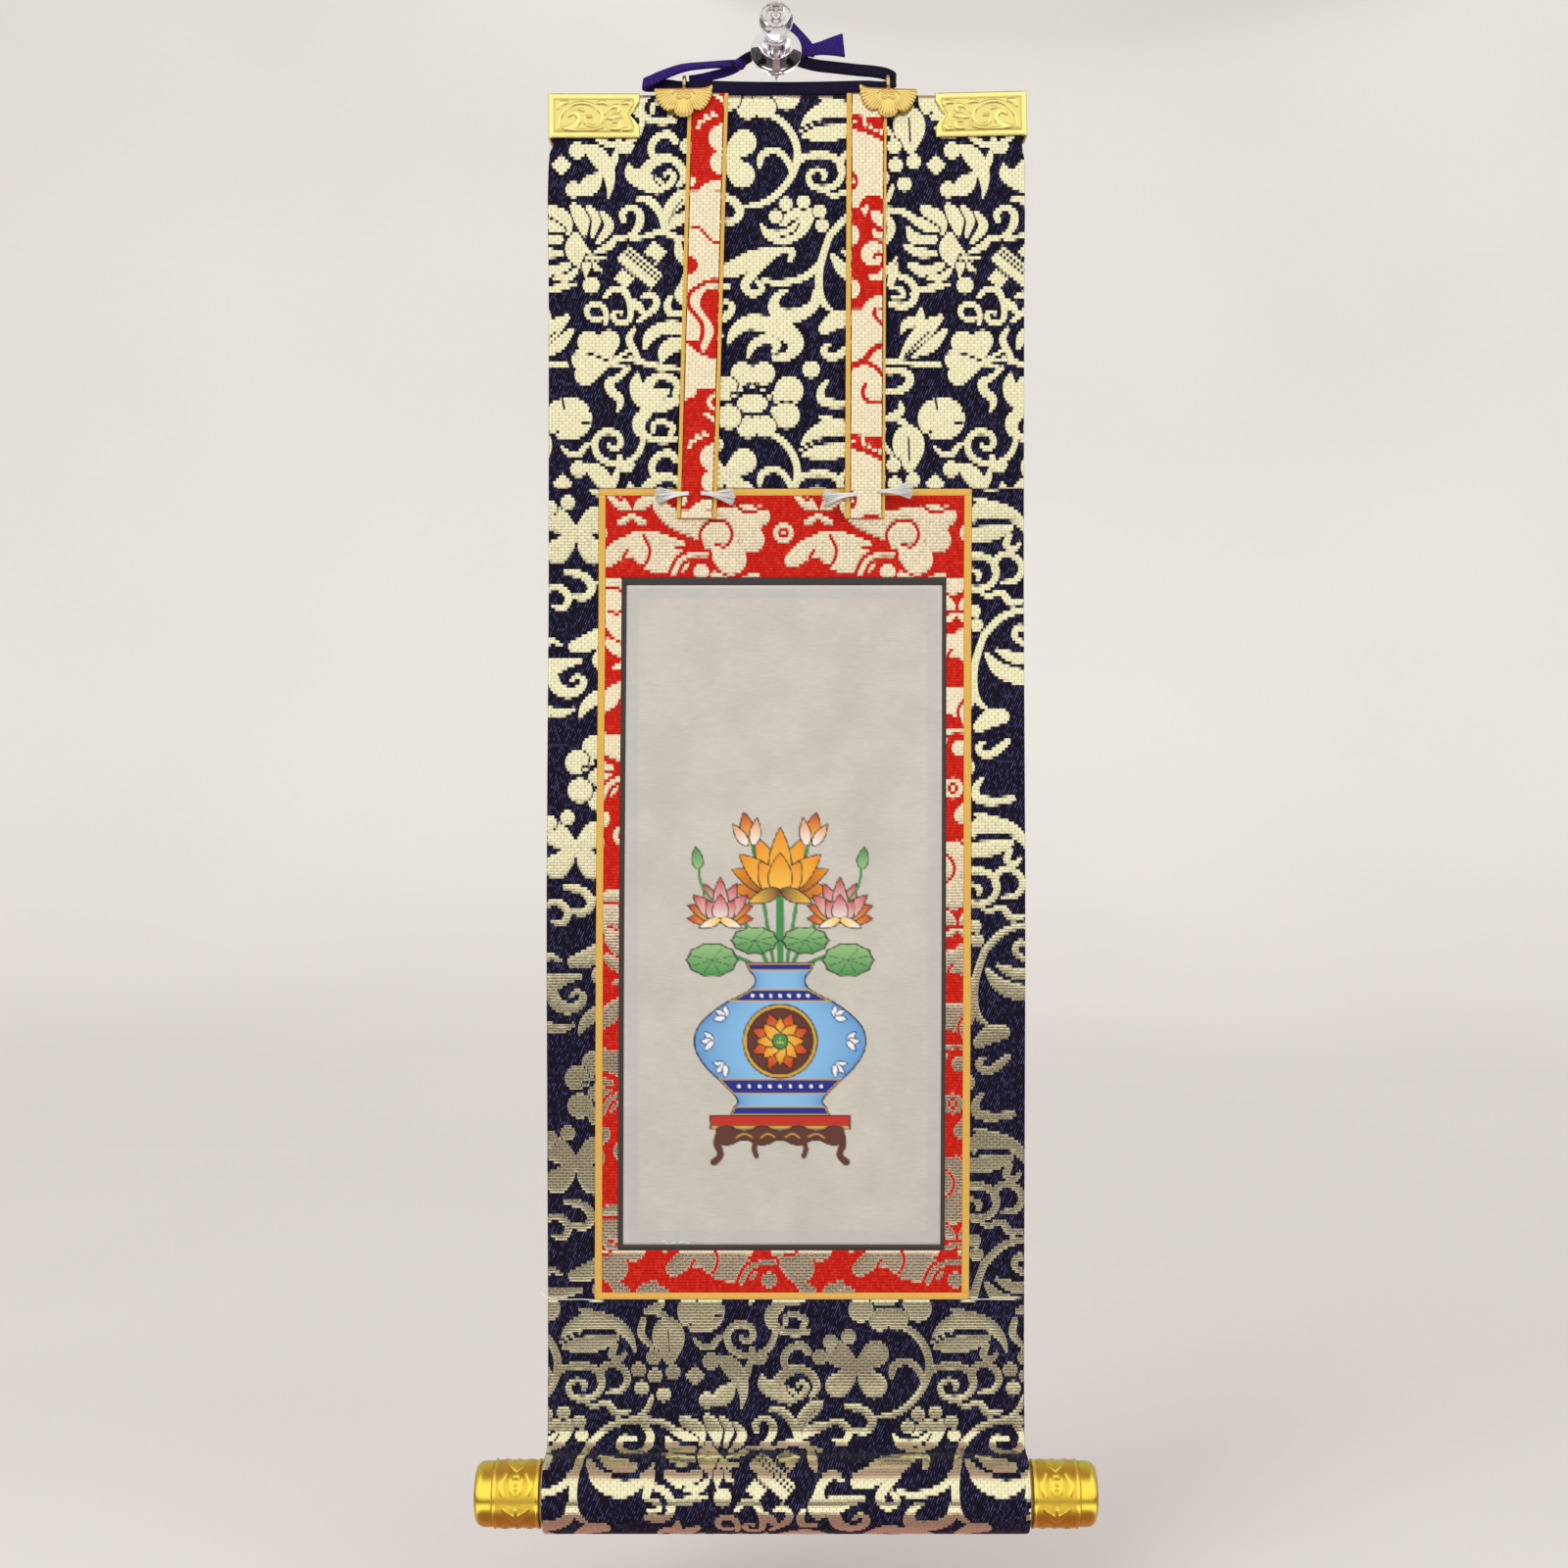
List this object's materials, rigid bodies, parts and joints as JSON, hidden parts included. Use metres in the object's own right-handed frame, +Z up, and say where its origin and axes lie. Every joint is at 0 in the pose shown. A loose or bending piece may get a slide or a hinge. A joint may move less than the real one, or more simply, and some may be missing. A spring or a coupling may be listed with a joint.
{
  "type": "buddhist hanging scroll on a push pin",
  "caption": "Small altar hanging scroll in navy and red brocade with a gilt-capped roller, hung by a flat braid from a clear push pin.",
  "frame": {"origin": "the point where the pin's needle enters the wall plane, which is y = 0", "axes": "+Z up, +X to the right as seen from the front, +Y into the wall; the scroll's front faces -Y"},
  "size_m": [0.119, 0.0242, 0.2922],
  "materials": {
    "navy_brocade": "matte navy twill with pale gold brocade figures",
    "red_brocade": "ribbed vermilion cloth with gold brocade figures",
    "yellow_edging": "plain yellow silk edging",
    "black_line": "plain dark line round the picture",
    "paper": "warm grey paper",
    "wood": "plain light wood",
    "gilt": "bright gilt metal",
    "brass": "polished pale brass",
    "braid": "flat purple braid",
    "silk": "white silk floss",
    "acrylic": "clear moulded plastic",
    "steel": "bright steel"
  },
  "bodies": {
    "root": {"bottom_cloth": "navy_brocade", "cord_inner": "braid", "cord_knot": "braid", "cord_loop": "braid", "cord_tail_side": "braid", "cord_tail_up": "braid", "corner_plate_left": "gilt", "corner_plate_right": "gilt", "edging_bottom": "yellow_edging", "edging_left": "yellow_edging", "edging_right": "yellow_edging", "edging_top": "yellow_edging", "fan_washer_left": "gilt", "fan_washer_right": "gilt", "futai_left": "red_brocade", "futai_left_edge_left": "yellow_edging", "futai_left_edge_right": "yellow_edging", "futai_right": "red_brocade", "futai_right_edge_left": "yellow_edging", "futai_right_edge_right": "yellow_edging", "inner_bottom": "red_brocade", "inner_left": "red_brocade", "inner_right": "red_brocade", "inner_top": "red_brocade", "line_bottom": "black_line", "line_left": "black_line", "line_right": "black_line", "line_top": "black_line", "picture_paper": "paper", "pillar_left": "navy_brocade", "pillar_right": "navy_brocade", "pin_head": "acrylic", "pin_needle": "steel", "ring_left": "brass", "ring_right": "brass", "roller": "wood", "roller_cap_left": "gilt", "roller_cap_right": "gilt", "stave": "wood", "top_cloth": "navy_brocade", "tuft_left_inner": "silk", "tuft_left_outer": "silk", "tuft_right_inner": "silk", "tuft_right_outer": "silk"}
  },
  "joints": []
}
